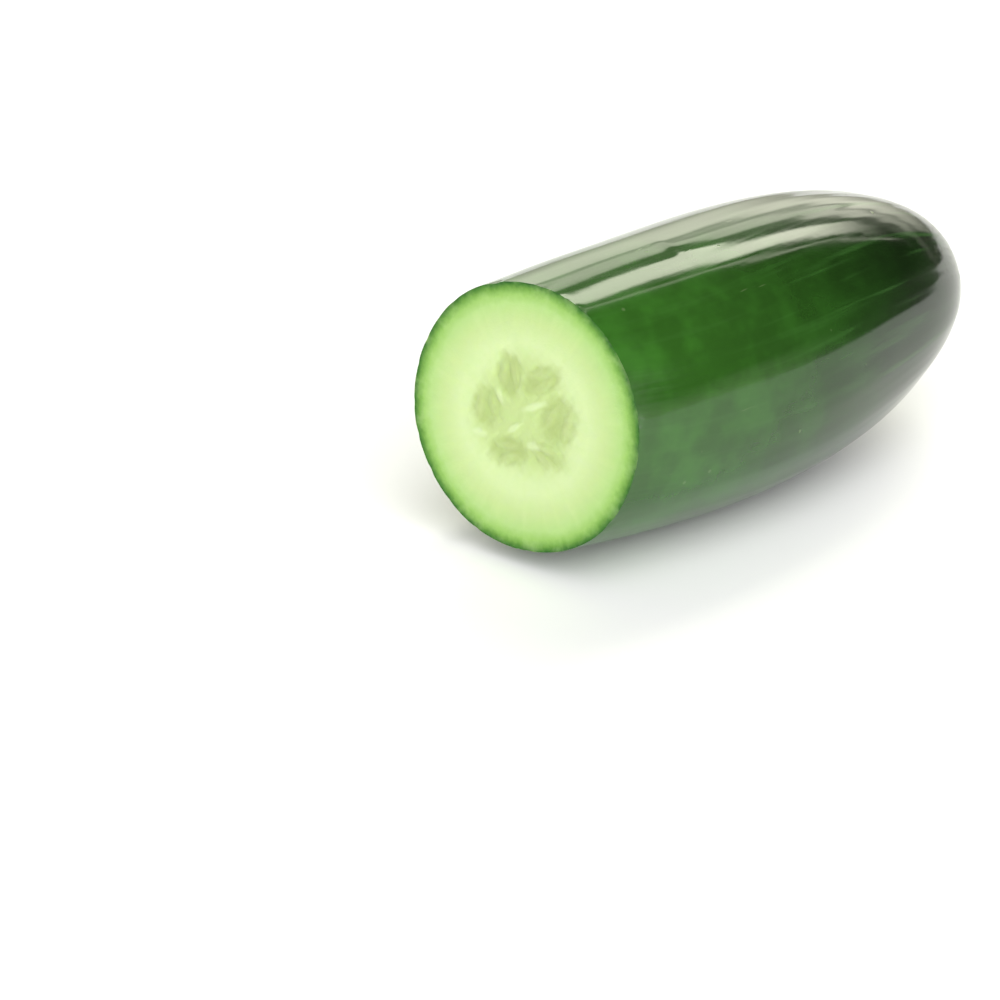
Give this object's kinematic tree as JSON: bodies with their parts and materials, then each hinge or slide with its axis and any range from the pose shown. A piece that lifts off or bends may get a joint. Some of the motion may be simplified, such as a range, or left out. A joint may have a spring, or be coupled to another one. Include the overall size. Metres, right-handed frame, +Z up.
{
  "type": "cut cucumber",
  "caption": "Half of a slicing cucumber lying on its side: a flat, slightly slanted knife cut at one end and a rounded, ribbed blossom end at the other.",
  "frame": {"origin": "under the middle of the bounding box, on the surface the cucumber lies on", "axes": "+X along the cucumber from the knife cut to the blossom end, +Z up"},
  "size_m": [0.1124, 0.0504, 0.0507],
  "materials": {
    "cucumber": "waxy, glossy dark green skin with shallow lengthwise ribs; the knife cut is moist pale green flesh with a paler seed centre"
  },
  "bodies": {
    "root": {"cucumber": "cucumber"}
  },
  "joints": []
}
